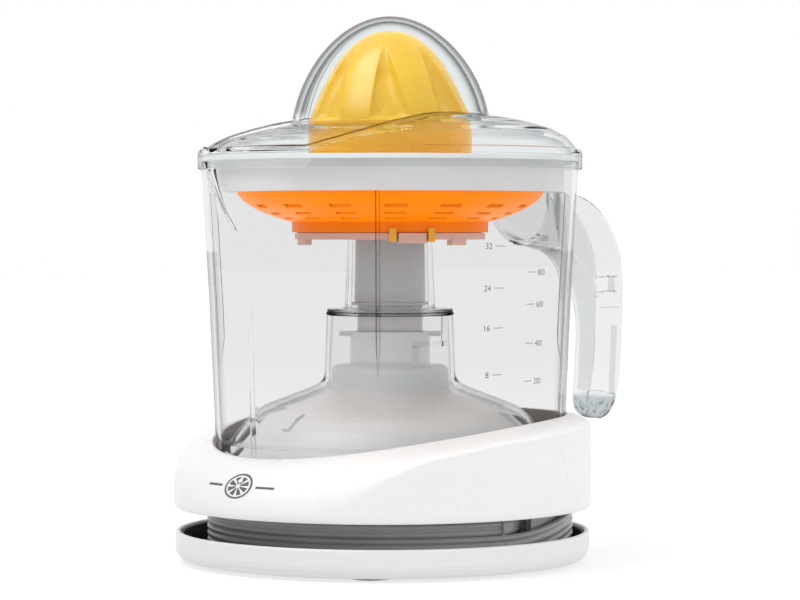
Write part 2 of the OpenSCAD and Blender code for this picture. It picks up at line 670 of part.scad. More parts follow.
module ring_clips() color("#d8a21c") for (s = [-1, 1]) rotate([0, 0, tab_angle + 11 * s])
    translate([38.4, -1.4, 128.6]) {
        cube([2.8, 2.8, 3.4]);
        translate([1.75, 0, 3]) cube([1.05, 2.8, 2.4]);
    }

// ---------------------------------------------------------------- reamers

cone = [[reamer_r, 176.4], [31.6, 179], [28.9, 185], [24.9, 191.7], [21.4, 197.2], [17.8, 202],
        [13.4, 206.6], [8, 210.9], [3.4, 213.2], [0, 213.6]];
small_cone = [[25.6, 151.4], [23.8, 157], [21.9, 163], [19.6, 171], [17, 178.6], [14, 186],
              [10.6, 192.4], [6.4, 197.6], [2.6, 200], [0, 200.5]];

// An outline moved towards the axis and down, which leaves a wall of even thickness
function shrunk(points, by) = [for (p = points) [max(0, p.x - by), p.y - 0.7 * by]];

module reamer_ribs(points, proud) for (i = [0:rib_count - 1]) rotate([0, 0, 360 * (i + 0.5) / rib_count])
    rotate([90, 0, 0]) translate([0, 0, -1.1]) linear_extrude(2.2)
        polygon(concat([for (p = points) [max(0, p.x + (p.x > 3 ? proud : 0)), p.y]],
                       reverse(shrunk(points, 1))));

module small_reamer() color("#edc53a") {
    difference() {
        union() {
            lathe(concat([[0, 149], [31.2, 149], [31.2, 151.4]], small_cone), 96);
            reamer_ribs(small_cone, 0.8);
        }
        lathe(concat([[0, 140], [23.6, 140]], shrunk(small_cone, 2)), 96);
    }
    difference() {
        union() {
            translate([0, 0, 149]) cylinder(r = 12, h = 14, $fn = small);
            for (a = [0, 90]) rotate([0, 0, a + 45]) translate([-21, -0.8, 151]) cube([42, 1.6, 9]);
        }
        translate([0, 0, 140]) cylinder(d = (shaft_hex + 0.4) / cos(30), h = hex_top - 140 + 0.1, $fn = 6);
    }
}

module large_reamer() color("#f2cc3e") {
    difference() {
        union() {
            lathe(concat([[0, 147], [reamer_r, 147]], cone), 96);
            reamer_ribs(cone, 0.9);
        }
        lathe(concat([[0, 140], [reamer_r - 2.2, 140]], shrunk(cone, 2.2)), 96);
    }
    tube(reamer_r - 2, 28.6, 151.65, 1.8, 96);
}

// ---------------------------------------------------------------- lid

module lid() color("#d5dee1", 0.35) lathe(concat(
    [[lid_r - 1.1, 157.5], [lid_r, 157.5], [lid_r, 166.2], [75.2, 166.3], [74.6, 167]],
    curve([74.4, 167.6], [72, 172], [60, 174.8], 5),
    [[50, 176.6], [43, 177.2]],
    curve([41.4, 177.5], [39.7, 178], [39.6, 180], 3),
    cubic([39.5, 182], [38, 203], [17.5, lid_z], [0, lid_z]),
    [[0, lid_z - 2]],
    cubic([0, lid_z - 2], [16, lid_z - 2], [36, 201.5], [37.5, 182]),
    [[37.5, 177.4], [40.6, 175.4], [50, 174.5], [59.6, 172.8]],
    curve([59.6, 172.8], [70.5, 170.2], [72.6, 165.6], 5),
    [[73.4, 162.7], [lid_r - 1.1, 162.7]]));

// ---------------------------------------------------------------- assembly

rubber_feet();
base_tray();
tray_liner();
cord_spool();
housing();
motor_cover();
base_screws();
gear_carrier();
gear_plate();
plate_screws();
stator_core();
stator_coil();
rotor_bushes();
idler_pin();
spindle_bush();
tower_bush();
return_spring();
switch_body();
terminal_block();
strain_relief();
power_cord();
plug_body();
plug_blades();
thrust_plate();
switch_button();
spindle();
output_gear();
compound_gear();
rotor_shaft();
rotor_magnet();
motor_pinion();
pitcher();
pitcher_handle();
thrust_washer();
drive_shaft();
basket_rim();
strainer_basket();
pulp_ring();
ring_clips();
small_reamer();
large_reamer();
lid();
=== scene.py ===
"""Looks for the citrus press juicer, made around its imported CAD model.

Shapes are worked out in millimetres in the model's frame: +Z up the spindle, the spout towards -Y and the
handle towards +Y. They become metres when a mesh is made.
"""

import math

import bmesh
import bpy
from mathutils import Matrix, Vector


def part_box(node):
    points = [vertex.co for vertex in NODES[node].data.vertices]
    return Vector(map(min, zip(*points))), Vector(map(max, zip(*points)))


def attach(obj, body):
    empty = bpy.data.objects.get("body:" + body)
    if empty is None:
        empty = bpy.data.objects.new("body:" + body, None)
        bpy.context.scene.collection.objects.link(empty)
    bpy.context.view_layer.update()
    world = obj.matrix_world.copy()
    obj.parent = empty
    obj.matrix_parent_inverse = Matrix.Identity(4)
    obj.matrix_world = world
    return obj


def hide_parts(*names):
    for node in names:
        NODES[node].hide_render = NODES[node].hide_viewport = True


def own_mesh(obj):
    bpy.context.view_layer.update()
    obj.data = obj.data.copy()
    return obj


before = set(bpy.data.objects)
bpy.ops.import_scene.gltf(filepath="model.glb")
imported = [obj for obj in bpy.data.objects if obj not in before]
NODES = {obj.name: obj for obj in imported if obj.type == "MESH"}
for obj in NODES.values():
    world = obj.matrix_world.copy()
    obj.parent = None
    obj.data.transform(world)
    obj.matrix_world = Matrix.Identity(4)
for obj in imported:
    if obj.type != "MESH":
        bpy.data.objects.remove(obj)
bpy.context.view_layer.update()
MM = 0.001
TURN = 2 * math.pi


def low(node):
    """Lowest corner of a CAD node, in millimetres."""
    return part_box(node)[0] / MM


def high(node):
    """Highest corner of a CAD node, in millimetres."""
    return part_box(node)[1] / MM


# ---------------------------------------------------------------- outlines

def smooth(start, end, x):
    """0 up to start, 1 beyond end, and an even S between them. start may be the larger of the two."""
    t = min(max((x - start) / (end - start), 0), 1)
    return t * t * (3 - 2 * t)


def lookup(x, table):
    """The value at x on a line through (x, value) pairs."""
    for (x0, v0), (x1, v1) in zip(table, table[1:]):
        if x <= x1:
            return v0 + (v1 - v0) * max(0, (x - x0) / (x1 - x0))
    return table[-1][1]


def cubic(a, b, c, d, steps=10):
    """Points on a cubic curve from a to d."""
    points = []
    for i in range(steps + 1):
        t, u = i / steps, 1 - i / steps
        weights = (u * u * u, 3 * u * u * t, 3 * u * t * t, t * t * t)
        points.append(tuple(sum(w * p[k] for w, p in zip(weights, (a, b, c, d))) for k in (0, 1)))
    return points


def rounded(points, radius, steps=4, closed=False):
    """The outline with its corners drawn as short curves, of one radius or of one for each point."""
    count = len(points)
    radii = radius if isinstance(radius, list) else [radius] * count
    result = []
    for i, p in enumerate(points):
        ends = not closed and i in (0, count - 1)
        if ends or radii[i] == 0:
            result.append(tuple(p))
            continue
        p = Vector(p)
        before, after = Vector(points[i - 1]) - p, Vector(points[(i + 1) % count]) - p
        a = p + before.normalized() * min(radii[i], 0.45 * before.length)
        c = p + after.normalized() * min(radii[i], 0.45 * after.length)
        for k in range(steps + 1):
            t = k / steps
            result.append(tuple(a * (1 - t) ** 2 + p * (2 * t * (1 - t)) + c * t * t))
    return result


def resampled(points, count):
    """count points at even distances along a line of points."""
    lengths = [0.0]
    for p, q in zip(points, points[1:]):
        lengths.append(lengths[-1] + math.dist(p, q))
    result, k = [], 0
    for i in range(count):
        goal = lengths[-1] * i / (count - 1)
        while k < len(points) - 2 and lengths[k + 1] < goal:
            k += 1
        t = (goal - lengths[k]) / max(lengths[k + 1] - lengths[k], 1e-9)
        result.append(tuple(a + (b - a) * min(t, 1) for a, b in zip(points[k], points[k + 1])))
    return result


# ---------------------------------------------------------------- meshes

def grid_faces(rows, columns, close_rows=True, close_columns=True):
    """Quads over rows of points. A closed direction joins its last line to its first."""
    faces = []
    for i in range(rows if close_rows else rows - 1):
        for j in range(columns if close_columns else columns - 1):
            near, far = i * columns, (i + 1) % rows * columns
            k = (j + 1) % columns
            faces.append([near + j, near + k, far + k, far + j])
    return faces


def piece(name, parts, body, material, replaced=(), sharp=32):
    """An object from parts, each a pair of points and faces, that rides on a body."""
    mesh = bpy.data.meshes.new(name)
    build = bmesh.new()
    for points, faces in parts:
        corners = [build.verts.new(Vector(p) * MM) for p in points]
        for face in faces:
            build.faces.new([corners[i] for i in face])
    bmesh.ops.remove_doubles(build, verts=build.verts, dist=1e-7)
    bmesh.ops.recalc_face_normals(build, faces=build.faces)
    build.to_mesh(mesh)
    build.free()
    for polygon in mesh.polygons:
        polygon.use_smooth = True
    mesh.set_sharp_from_angle(angle=math.radians(sharp))
    mesh.materials.append(material)
    made = bpy.data.objects.new(name, mesh)
    bpy.context.scene.collection.objects.link(made)
    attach(made, body)
    if replaced:
        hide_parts(*replaced)
    return made


def turned(section, segments=360, ring=True):
    """A solid turned round the Z axis. section(angle) is its outline there, as (radius, height) points:
    a ring that closes on itself, or a line from the axis to the axis."""
    points = []
    for i in range(segments):
        angle = TURN * i / segments
        outline = section(angle)
        points += [(r * math.cos(angle), r * math.sin(angle), z) for r, z in outline]
    return points, grid_faces(segments, len(outline), close_columns=ring)


def swept(rings):
    """A solid through rings of points, closed at both ends."""
    count = len(rings[0])
    points = [p for ring in rings for p in ring]
    faces = grid_faces(len(rings), count, close_rows=False)
    faces.append(list(range(count)))
    faces.append([(len(rings) - 1) * count + j for j in range(count)])
    return points, faces


def arc_block(angles, radii, heights):
    """A block bent round the Z axis, between two angles in degrees, two radii and two heights."""
    rings, steps = [], 16
    for i in range(steps + 1):
        a = math.radians(angles[0] + (angles[1] - angles[0]) * i / steps)
        outline = rounded([(radii[0], heights[0]), (radii[1], heights[0]),
                           (radii[1], heights[1]), (radii[0], heights[1])], 0.25, 3, closed=True)
        rings.append([(r * math.cos(a), r * math.sin(a), z) for r, z in outline])
    return swept(rings)


def wrapped(points, angle, radius):
    """Flat points, as (along the wall, height), laid on a wall whose radius depends on angle and height."""
    laid = []
    for x, z in points:
        a = angle + x / radius(angle, z)
        r = radius(a, z)
        laid.append((r * math.cos(a), r * math.sin(a), z))
    return laid


# ---------------------------------------------------------------- materials

def add(tree, kind, settings=None, **inputs):
    """A node with its settings and inputs. An underscore in an input's name stands for a space."""
    node = tree.nodes.new(kind)
    for key, value in (settings or {}).items():
        setattr(node, key, value)
    for key, value in inputs.items():
        socket = node.inputs[key.replace("_", " ")]
        if isinstance(value, bpy.types.NodeSocket):
            tree.links.new(value, socket)
        else:
            socket.default_value = value
    return node


def ramp(tree, factor, stops):
    """Colours along a factor, as (place, (r, g, b)) pairs."""
    node = add(tree, "ShaderNodeValToRGB", Fac=factor)
    elements = node.color_ramp.elements
    while len(elements) < len(stops):
        elements.new(0.5)
    for element, (place, colour) in zip(elements, stops):
        element.position = place
        element.color = (*colour, 1)
    return node.outputs["Color"]


def spread(tree, factor, low_value, high_value, start=0.0, end=1.0):
    """factor from start to end, as a number from low_value to high_value."""
    node = add(tree, "ShaderNodeMapRange", Value=factor, From_Min=start, From_Max=end,
               To_Min=low_value, To_Max=high_value)
    return node.outputs["Result"]


def calculate(tree, operation, a, b=None):
    """The result of a calculation on one or two numbers, each a socket or a constant."""
    node = add(tree, "ShaderNodeMath", {"operation": operation})
    for value, socket in zip((a, b), node.inputs):
        if isinstance(value, bpy.types.NodeSocket):
            tree.links.new(value, socket)
        elif value is not None:
            socket.default_value = value
    return node.outputs[0]


def new_material(name):
    """A material with an empty node tree, and the socket with each point's place on its piece, in metres."""
    material = bpy.data.materials.new(name)
    material.use_nodes = True
    tree = material.node_tree
    tree.nodes.clear()
    place = add(tree, "ShaderNodeTexCoord").outputs["Object"]
    return material, tree, place


def noise(tree, place, scale, detail, stretch=None):
    """Soft random cloudiness from 0 to 1. scale is in clouds per metre."""
    if stretch:
        place = add(tree, "ShaderNodeMapping", Vector=place, Scale=stretch).outputs["Vector"]
    return add(tree, "ShaderNodeTexNoise", Vector=place, Scale=scale, Detail=detail).outputs["Fac"]


def finish_surface(tree, shader):
    """The shader goes to the material's output."""
    output = add(tree, "ShaderNodeOutputMaterial")
    tree.links.new(shader, output.inputs["Surface"])


def shades(colour, by):
    """The colour a little darker and a little lighter."""
    return tuple(c * (1 - by) for c in colour), tuple(min(1, c * (1 + by)) for c in colour)


def moulded(name, colour, roughness, grain=0.12, mottle=0.03, grain_scale=1400.0, inner=0.0, shine=0.5,
            painted_glow=0.0):
    """Moulded plastic: faint flow marks, an uneven polish, a fine skin, and some light inside it.
    The last argument is the strength of a painted glow in its own colour where its surface faces down,
    standing for light that comes through the thin shell."""
    material, tree, place = new_material(name)
    flow = noise(tree, place, 26.0, 3.0, stretch=(1.0, 1.0, 2.4))
    dark, light = shades(colour, mottle)
    polish = noise(tree, place, 75.0, 4.0)
    skin = noise(tree, place, grain_scale, 2.0)
    bump = add(tree, "ShaderNodeBump", Strength=grain, Distance=0.0002, Height=skin)
    plastic = add(tree, "ShaderNodeBsdfPrincipled",
                  Base_Color=ramp(tree, flow, [(0.3, dark), (0.7, light)]),
                  Roughness=spread(tree, polish, roughness - 0.05, roughness + 0.05, 0.3, 0.7),
                  Normal=bump.outputs["Normal"], IOR=1.5, Specular_IOR_Level=shine,
                  Subsurface_Weight=inner, Subsurface_Radius=(0.004, 0.003, 0.002),
                  Subsurface_Scale=1.0)
    # Painted glow: the underside shines in the plastic's own colour, more where it faces further down.
    if painted_glow:
        level = add(tree, "ShaderNodeSeparateXYZ",
                    Vector=add(tree, "ShaderNodeNewGeometry").outputs["Normal"]).outputs["Z"]
        tree.links.new(spread(tree, level, painted_glow, 0.0, -0.55, -0.05), plastic.inputs["Emission Strength"])
        plastic.inputs["Emission Color"].default_value = (*colour, 1)
    finish_surface(tree, plastic.outputs["BSDF"])
    return material


def metal(name, colour, roughness):
    """Ground metal: fine scratches round it and a cloudy polish."""
    material, tree, place = new_material(name)
    scratches = noise(tree, place, 420.0, 4.0, stretch=(1.0, 1.0, 40.0))
    cloud = noise(tree, place, 60.0, 3.0)
    dark, light = shades(colour, 0.12)
    bump = add(tree, "ShaderNodeBump", Strength=0.25, Distance=0.0001, Height=scratches)
    surface = add(tree, "ShaderNodeBsdfPrincipled",
                  Base_Color=ramp(tree, cloud, [(0.3, dark), (0.7, light)]), Metallic=1.0,
                  Roughness=spread(tree, scratches, roughness - 0.08, roughness + 0.1, 0.3, 0.7),
                  Normal=bump.outputs["Normal"])
    finish_surface(tree, surface.outputs["BSDF"])
    return material


def ringed(name, dark, light, roughness, period, metallic):
    """Stacked sheets or windings: bands of two shades up the piece, period apart in metres."""
    material, tree, place = new_material(name)
    upright = add(tree, "ShaderNodeSeparateXYZ", Vector=place).outputs["Z"]
    wave = calculate(tree, "SINE", calculate(tree, "MULTIPLY", upright, TURN / period))
    bump = add(tree, "ShaderNodeBump", Strength=0.5, Distance=0.0002, Height=wave)
    stain = noise(tree, place, 120.0, 3.0)
    surface = add(tree, "ShaderNodeBsdfPrincipled", Metallic=metallic,
                  Base_Color=ramp(tree, spread(tree, wave, 0.0, 1.0, -1.0, 1.0),
                                  [(0.2, dark), (0.8, light)]),
                  Roughness=spread(tree, stain, roughness - 0.08, roughness + 0.08, 0.3, 0.7),
                  Normal=bump.outputs["Normal"])
    finish_surface(tree, surface.outputs["BSDF"])
    return material


def clear(name, face, edge, ior, ripple=0.03, edge_from=0.7, edge_to=0.92, gloss=0.5, frost_below=None,
          band=None):
    """Clear moulded plastic: it ripples faintly and lets lamps through, and a painted shade darkens it where
    it is seen edge on, standing for the dark edges its walls show. Under frost_below, a height in metres, it
    is frosted. band is a height above which its painted dark edge is broader, and by how much."""
    material, tree, place = new_material(name)
    upright = add(tree, "ShaderNodeSeparateXYZ", Vector=place).outputs["Z"]
    # Painted shade: the colour turns to the edge colour where the surface is seen edge on, over a broader
    # edge above the band's height.
    facing = add(tree, "ShaderNodeLayerWeight", Blend=0.5).outputs["Facing"]
    if band is not None:
        wider = spread(tree, upright, 0.0, band[1], band[0] - 0.001, band[0] + 0.002)
        facing = calculate(tree, "ADD", facing, wider)
    tint_and_edge_shade = ramp(tree, facing, [(0.0, face), (edge_from, face), (edge_to, edge)])
    waves = noise(tree, place, 34.0, 2.0, stretch=(1.0, 1.0, 0.5))
    bump = add(tree, "ShaderNodeBump", Strength=ripple, Distance=0.002, Height=waves)
    polish = spread(tree, noise(tree, place, 90.0, 3.0), 0.0, 0.03, 0.35, 0.75)
    if frost_below is not None:
        frost = spread(tree, upright, 1.0, 0.0, frost_below - 0.001, frost_below + 0.002)
        crystals = add(tree, "ShaderNodeTexVoronoi", Vector=place, Scale=330.0)
        bump = add(tree, "ShaderNodeBump", Strength=frost, Distance=0.0012,
                   Height=crystals.outputs["Distance"], Normal=bump.outputs["Normal"])
        polish = spread(tree, frost, 0.01, 0.22)
        cloudy = add(tree, "ShaderNodeMix", {"data_type": "RGBA", "blend_type": "MULTIPLY"}, Factor=frost)
        colour_a, colour_b, mixed = cloudy.inputs[6], cloudy.inputs[7], cloudy.outputs[2]
        tree.links.new(tint_and_edge_shade, colour_a)
        colour_b.default_value = (0.62, 0.66, 0.67, 1)
        tint_and_edge_shade = mixed
    glass = add(tree, "ShaderNodeBsdfPrincipled", Base_Color=tint_and_edge_shade, Roughness=polish, IOR=ior,
                Specular_IOR_Level=gloss, Transmission_Weight=1.0, Normal=bump.outputs["Normal"])
    through = add(tree, "ShaderNodeBsdfTransparent", Color=(*(c ** 0.5 for c in face), 1))
    lamps = add(tree, "ShaderNodeLightPath").outputs["Is Shadow Ray"]
    mix = add(tree, "ShaderNodeMixShader", Fac=lamps)
    tree.links.new(glass.outputs["BSDF"], mix.inputs[1])
    tree.links.new(through.outputs["BSDF"], mix.inputs[2])
    finish_surface(tree, mix.outputs["Shader"])
    return material


WHITE = moulded("housing_white", (0.77, 0.775, 0.775), 0.32, grain=0.03, mottle=0.01)
TRAY_WHITE = moulded("tray_white", (0.71, 0.715, 0.715), 0.34, grain=0.08, mottle=0.015)
LINER = moulded("liner_black", (0.012, 0.012, 0.013), 0.55, grain=0.3)
FOOT = moulded("foot_rubber", (0.06, 0.06, 0.065), 0.75, grain=0.5, mottle=0.12, grain_scale=900.0)
SPOOL = moulded("spool_grey", (0.36, 0.365, 0.37), 0.45, grain=0.25)
COVER = moulded("cover_grey", (0.76, 0.79, 0.80), 0.36, grain=0.1)
SHAFT = moulded("shaft_grey", (0.62, 0.62, 0.62), 0.4, grain=0.1)
COLLAR = moulded("collar_grey", (0.80, 0.80, 0.80), 0.38, grain=0.08, inner=0.1)
# The basket's underside gets a painted glow in its orange.
ORANGE = moulded("basket_orange", (1.0, 0.25, 0.001), 0.36, grain=0.05, shine=0.15, painted_glow=0.38)
PINK = moulded("pulp_pink", (0.66, 0.44, 0.38), 0.36, grain=0.08, inner=0.2)
AMBER = moulded("clip_amber", (0.80, 0.42, 0.02), 0.3, grain=0.06, inner=0.2)
YELLOW = moulded("reamer_yellow", (0.86, 0.52, 0.035), 0.26, grain=0.05, mottle=0.06, inner=0.05,
                 shine=0.7)
CORD = moulded("cord_grey", (0.36, 0.365, 0.37), 0.32, grain=0.18, mottle=0.05, grain_scale=700.0)
GEAR = moulded("gear_white", (0.78, 0.75, 0.66), 0.4, grain=0.15, inner=0.1)
CARRIER = moulded("carrier_grey", (0.09, 0.1, 0.11), 0.6, grain=0.4, mottle=0.15, grain_scale=600.0)
RED = moulded("button_red", (0.42, 0.035, 0.03), 0.4)
PRINT = moulded("print_grey", (0.10, 0.102, 0.105), 0.6, grain=0.05)
STEEL = metal("steel", (0.6, 0.61, 0.62), 0.28)
BRASS = metal("bush_brass", (0.62, 0.46, 0.2), 0.32)
MAGNET = metal("magnet_iron", (0.07, 0.07, 0.075), 0.55)
CORE = ringed("laminated_iron", (0.12, 0.125, 0.13), (0.3, 0.31, 0.33), 0.45, 0.001, 0.8)
COIL = ringed("coil_copper", (0.25, 0.07, 0.02), (0.62, 0.25, 0.09), 0.35, 0.0008, 0.6)
# Each clear material darkens to its edge colour where it is seen edge on: painted shade for the dark edges
# that bent light gives.
CLEAR = clear("clear_plastic", (0.88, 0.88, 0.88), (0.24, 0.245, 0.245), ior=1.03, gloss=1.0,
              band=(0.125, -0.3))
INNER_CLEAR = clear("tower_clear", (0.95, 0.95, 0.95), (0.25, 0.255, 0.255), ior=1.07, gloss=0.8,
                    edge_from=0.72)
# The ribs turn near black from a low facing on: painted shade that draws them as dark lines.
RIB_CLEAR = clear("rib_clear", (0.95, 0.95, 0.95), (0.012, 0.012, 0.012), ior=1.04, edge_from=0.1,
                  edge_to=0.55)
HANDLE_CLEAR = clear("handle_clear", (0.82, 0.83, 0.83), (0.08, 0.085, 0.09), ior=1.1, gloss=0.8,
                     edge_from=0.5, edge_to=0.85, frost_below=0.0615)
LID_CLEAR = clear("lid_clear", (0.89, 0.91, 0.915), (0.12, 0.125, 0.13), ior=1.04, gloss=1.0, ripple=0.01,
                  edge_from=0.72, edge_to=0.95, band=(0.179, 0.17))
# The crest line's brownish colour and its dark edge are painted shade.
CREST_SHADE = clear("crest_painted_shade", (0.40, 0.34, 0.31), (0.12, 0.10, 0.10), ior=1.02, edge_from=0.3)

NODE_FINISH = {
    "rubber_feet": FOOT, "base_tray": TRAY_WHITE, "tray_liner": LINER, "cord_spool": SPOOL,
    "housing": WHITE, "motor_cover": COVER, "base_screws": STEEL, "gear_carrier": CARRIER,
    "gear_plate": STEEL, "plate_screws": STEEL, "stator_core": CORE, "stator_coil": COIL,
    "rotor_bushes": BRASS, "idler_pin": STEEL, "spindle_bush": BRASS, "tower_bush": BRASS,
    "return_spring": STEEL, "switch_body": LINER, "terminal_block": GEAR, "strain_relief": CORD,
    "power_cord": CORD, "plug_body": CORD, "plug_blades": BRASS, "thrust_plate": GEAR,
    "switch_button": RED, "spindle": STEEL, "output_gear": GEAR, "compound_gear": GEAR,
    "rotor_shaft": STEEL, "rotor_magnet": MAGNET, "motor_pinion": BRASS, "pitcher": CLEAR,
    "pitcher_handle": HANDLE_CLEAR, "thrust_washer": SHAFT, "drive_shaft": SHAFT,
    "basket_rim": COLLAR, "strainer_basket": ORANGE, "pulp_ring": PINK, "ring_clips": AMBER,
    "small_reamer": YELLOW, "large_reamer": YELLOW, "lid": LID_CLEAR,
}
for node_name, finish in NODE_FINISH.items():
    mesh = NODES[node_name].data
    mesh.materials.clear()
    mesh.materials.append(finish)
    for polygon in mesh.polygons:
        polygon.use_smooth = True
    mesh.set_sharp_from_angle(angle=math.radians(28))


# ---------------------------------------------------------------- return spring

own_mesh(NODES["return_spring"])


# ---------------------------------------------------------------- camera

VIEW_SIDE = math.radians(-41.25)   # direction of the camera, seen from the spindle
VIEW_DISTANCE = 1195
VIEW_HEIGHT = 134
VIEW_LENS = 132.75
AXIS_LEFT = 0.00339                # slope to the right, which sets the spindle left of the middle
TILT_DOWN = 0.024407

camera = bpy.data.objects.new("camera", bpy.data.cameras.new("camera"))
bpy.context.scene.collection.objects.link(camera)
bpy.context.scene.camera = camera
out = Vector((math.cos(VIEW_SIDE), math.sin(VIEW_SIDE), 0))
right = Vector((-out.y, out.x, 0))
camera.location = (out * VIEW_DISTANCE + Vector((0, 0, VIEW_HEIGHT))) * MM
camera.data.lens = VIEW_LENS
camera.data.sensor_width = 36
camera.data.clip_start = 0.05
look = -out + right * AXIS_LEFT + Vector((0, 0, -TILT_DOWN))
camera.rotation_euler = look.to_track_quat("-Z", "Y").to_euler()


# ---------------------------------------------------------------- power cord

CORD_ROWS = 3
WOUND_HEIGHT = high("power_cord").z - low("power_cord").z
ROW = WOUND_HEIGHT / CORD_ROWS         # width of the flat cord, which stands on edge on the spool
THICK = 2.8
WIND_R = high("power_cord").x - THICK / 2
TOP_ROW = high("power_cord").z - ROW / 2
BEND_R = 25                            # bend where the cord joins or leaves the winding
EXIT_SIDE = -12                        # direction in which the lead joins the winding, in degrees
SLEEVE_FROM = 20                       # how far round its bend the sleeve reaches
CROSSING = (56, 9)                     # where each row drops to the next, before EXIT_SIDE
PLUG_SIDE = 150                        # direction of the plug, which lies along a line across the drum
PLUG_LINE = 59                         # that line's distance from the spindle
PLUG_NECK_Z = 9.9
CORE_R = THICK / 2                     # each of the cord's two cores is round
GROOVE = 142                           # how far round from its outer side a core goes, down to the groove


def polar(radius, degrees, z=0.0):
    """A point at a distance from the Z axis, in a direction."""
    a = math.radians(degrees)
    return Vector((radius * math.cos(a), radius * math.sin(a), z))


def cord_route():
    """From the sleeve on to the drum, clockwise round it in three rows, and in to the plug's neck."""
    middle = polar(WIND_R - BEND_R, EXIT_SIDE)
    route = [middle + polar(BEND_R, EXIT_SIDE + SLEEVE_FROM - 2.5 * i, TOP_ROW) for i in range(8)]
    plug_bend = math.degrees(math.acos((PLUG_LINE - BEND_R) / (WIND_R - BEND_R)))
    leave = PLUG_SIDE + plug_bend - CORD_ROWS * 360
    step = 3.0
    around = EXIT_SIDE
    while around > leave + 0.5 * step:
        drops = sum(1 - smooth(EXIT_SIDE + CROSSING[1], EXIT_SIDE + CROSSING[0], around + turn * 360)
                    for turn in range(1, CORD_ROWS))
        route.append(polar(WIND_R, around, TOP_ROW - ROW * drops))
        around -= step
    middle = polar(WIND_R - BEND_R, leave)
    last_z = TOP_ROW - (CORD_ROWS - 1) * ROW
    bends = 12
    for i in range(bends + 1):
        angle = leave - (plug_bend - 9) * i / bends
        route.append(middle + polar(BEND_R, angle, last_z + (PLUG_NECK_Z - last_z) * smooth(0, bends, i)))
    return route


def cord_section():
    """Outline of the flat twin cord: two round cores side by side with a groove along each side."""
    outline, steps = [], 12
    for sign in (1, -1):
        for i in range(steps + 1):
            a = math.radians(sign * 90 - GROOVE + 2 * GROOVE * i / steps)
            outline.append((CORE_R * math.cos(a), sign * CORE_R + CORE_R * math.sin(a)))
    return outline


def power_cord():
    """The wound cord, swept along its route."""
    route = cord_route()
    rings = []
    for i, p in enumerate(route):
        along = (route[min(i + 1, len(route) - 1)] - route[max(i - 1, 0)]).normalized()
        side = along.cross(Vector((0, 0, 1))).normalized()
        upward = side.cross(along)
        rings.append([p + side * x + upward * y for x, y in cord_section()])
    made = piece("power_cord_winding", [swept(rings)], "base", CORD, ["power_cord"], sharp=60)


power_cord()


# ---------------------------------------------------------------- housing

HOUSING_SHIFT = 4                      # the housing stands this far towards the spout
HOUSING_LOW = low("housing").z
HOUSING_R = 84.4                       # round its own middle, at the widest
HOUSING_FOOT_R = 83.8
WELL_R = 71.6                          # round well for the pitcher's foot
WELL_FLOOR = 38.2
RIM_TOP = (46, 59)                     # highest point of the rim's arc, towards the handle: y and z
RIM_FALL = 940                         # a larger number gives a flatter arc
PRINT_LIFT = 0.06                      # height of a print above the wall


def housing_reach(angle, radius):
    """Distance from the spindle to a circle of that radius round the housing's own middle."""
    shift = -HOUSING_SHIFT * math.sin(angle)
    return shift + math.sqrt(shift * shift + radius * radius - HOUSING_SHIFT ** 2)


def rim_height(angle, radius):
    """Height of the rim, which falls along an arc towards the spout."""
    y = radius * math.sin(angle)
    return RIM_TOP[1] - (y - RIM_TOP[0]) ** 2 / RIM_FALL


def from_spout(angle):
    """Degrees between a direction and the spout's, from 0 to 180."""
    return abs((math.degrees(angle) + 90 + 180) % 360 - 180)


# Height at which the upright wall turns into the sloping shoulder, by degrees from the spout
SHOULDER = [(0, 25), (22, 25), (30, 26), (36, 29), (41, 32.5), (47, 38), (53, 42.5), (60, 46.5), (80, 51.5),
            (110, 54), (180, 54)]


def housing_section(angle):
    """Outline of the housing's wall in one direction: up the outside, over the rim and down the well."""
    wall = housing_reach(angle, HOUSING_R)
    top = rim_height(angle, WELL_R)
    start = min(lookup(from_spout(angle), SHOULDER), top - 3)
    slope = smooth(120, 20, from_spout(angle))
    shoulder = cubic((wall, start), (wall - 0.3 - 1.0 * slope, start + (top - start) * 0.5),
                     (WELL_R + 4.5 + 3 * slope, top - 0.4 - 2.2 * slope), (WELL_R + 1.6, top + 0.1), 18)
    lower = housing_reach(angle, HOUSING_FOOT_R)
    outline = rounded([(lower - 2.2, HOUSING_LOW + 1.2), (lower - 1.8, HOUSING_LOW), (lower, HOUSING_LOW),
                       (wall, HOUSING_LOW + 2), (wall, start - 0.3)], [0, 0.5, 0.9, 1, 0])
    outline += shoulder
    outline += rounded([(WELL_R + 0.9, top + 0.1), (WELL_R, top + 0.1), (WELL_R, WELL_FLOOR + 0.2)],
                       [0, 0.8, 0])
    inner = [(54.2, WELL_FLOOR), (54.2, WELL_FLOOR - 2.4), (70, WELL_FLOOR - 2.4), (WELL_R + 2, 41)]
    return outline + inner + [(WELL_R + 2.4, max(42, top - 6)), (lower - 2.8, HOUSING_LOW + 3.4)]


piece("housing_shell", [turned(housing_section, 480)], "base", WHITE, ["housing"], sharp=40)


def housing_face(angle, z):
    """Radius of the housing's outside at a height, for what is printed on it."""
    outline = housing_section(angle)
    for (r0, z0), (r1, z1) in zip(outline[4:], outline[5:]):
        if z0 <= z <= z1:
            return r0 + (r1 - r0) * (z - z0) / max(z1 - z0, 1e-6) + PRINT_LIFT
    return housing_reach(angle, HOUSING_R) + PRINT_LIFT


def flat_ring(centre, outer, inner, steps=48, start=0.0, sweep=TURN):
    """A flat ring or part of one, as points and faces."""
    points = []
    for i in range(steps + 1):
        a = start + sweep * i / steps
        for r in (outer, inner):
            points.append((centre[0] + r * math.cos(a), centre[1] + r * math.sin(a)))
    return points, [[2 * i, 2 * i + 1, 2 * i + 3, 2 * i + 2] for i in range(steps)]


def flat_box(x0, x1, z0, z1):
    """A flat box in short lengths, which can follow a round wall, as points and faces."""
    steps = 6
    points = [(x0 + (x1 - x0) * i / steps, z) for i in range(steps + 1) for z in (z0, z1)]
    return points, [[2 * i, 2 * i + 1, 2 * i + 3, 2 * i + 2] for i in range(steps)]


